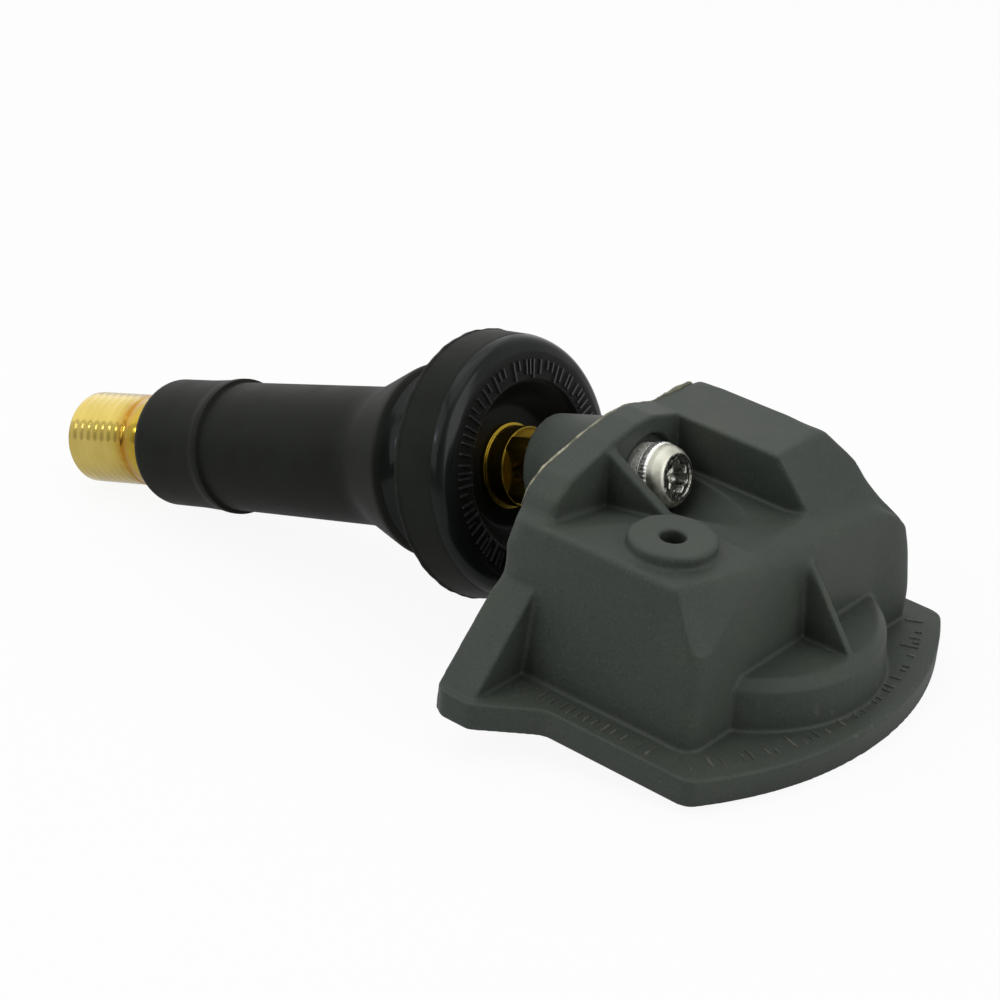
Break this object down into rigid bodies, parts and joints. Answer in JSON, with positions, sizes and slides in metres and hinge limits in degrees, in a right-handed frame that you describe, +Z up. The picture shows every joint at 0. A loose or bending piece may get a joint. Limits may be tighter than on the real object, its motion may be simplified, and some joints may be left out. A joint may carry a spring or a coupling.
{
  "type": "tyre pressure sensor",
  "caption": "Snap-in tyre pressure sensor: a moulded electronics housing screwed to the inner end of a rubber covered brass tyre valve.",
  "frame": {"origin": "on the valve axis, in the middle of the groove where a rim grips the rubber", "axes": "-X towards the valve's tip, which points 11.4 degrees down, +Z up from the table that the valve's tip and the end of the base plate lie on, +Y towards the housing's raised block"},
  "size_m": [0.0801, 0.0388, 0.0227],
  "materials": {
    "housing_plastic": "moulded, glass filled, fine grain",
    "potting": "cast, slightly domed",
    "cell_steel": "satin",
    "tab_steel": "satin",
    "board_green": "solder mask",
    "chip_black": "moulded",
    "gasket_red": "soft",
    "ferrite_grey": "fired",
    "coil_copper": "enamelled wire",
    "antenna_gold": "plated strip",
    "crystal_steel": "satin",
    "capacitor_tan": "fired",
    "stem_brass": "turned",
    "valve_rubber": "moulded",
    "core_brass": "turned",
    "seal_white": "moulded",
    "seal_black": "moulded",
    "spring_steel": "drawn wire",
    "screw_nickel": "nickel plated",
    "washer_steel": "tumbled"
  },
  "bodies": {
    "sensor": {"housing": "housing_plastic", "sealing_compound": "potting", "coin_cell": "cell_steel", "cell_tab_lower": "tab_steel", "cell_tab_upper": "tab_steel", "circuit_board": "board_green", "sensor_chip": "chip_black", "port_gasket": "gasket_red", "ferrite_core": "ferrite_grey", "coil_winding": "coil_copper", "antenna_strip": "antenna_gold", "crystal": "crystal_steel", "chip_capacitors": "capacitor_tan", "valve_stem": "stem_brass", "rubber_body": "valve_rubber", "core_plug": "core_brass", "core_barrel": "core_brass", "core_seal": "seal_white", "core_spring": "spring_steel", "fixing_screw": "screw_nickel", "lock_washer": "washer_steel"},
    "valve_pin": {"core_pin": "core_brass", "pin_cup": "core_brass", "pin_seal": "seal_black"}
  },
  "joints": [
    {"name": "pin_press", "type": "slide", "parent": "sensor", "child": "valve_pin", "axis": [0.9805, 0, 0.1963], "range_m": [0, 0.0012], "stiffness_N_per_m": 1500, "springref_m": -0.001, "deforming": ["core_spring"]}
  ]
}
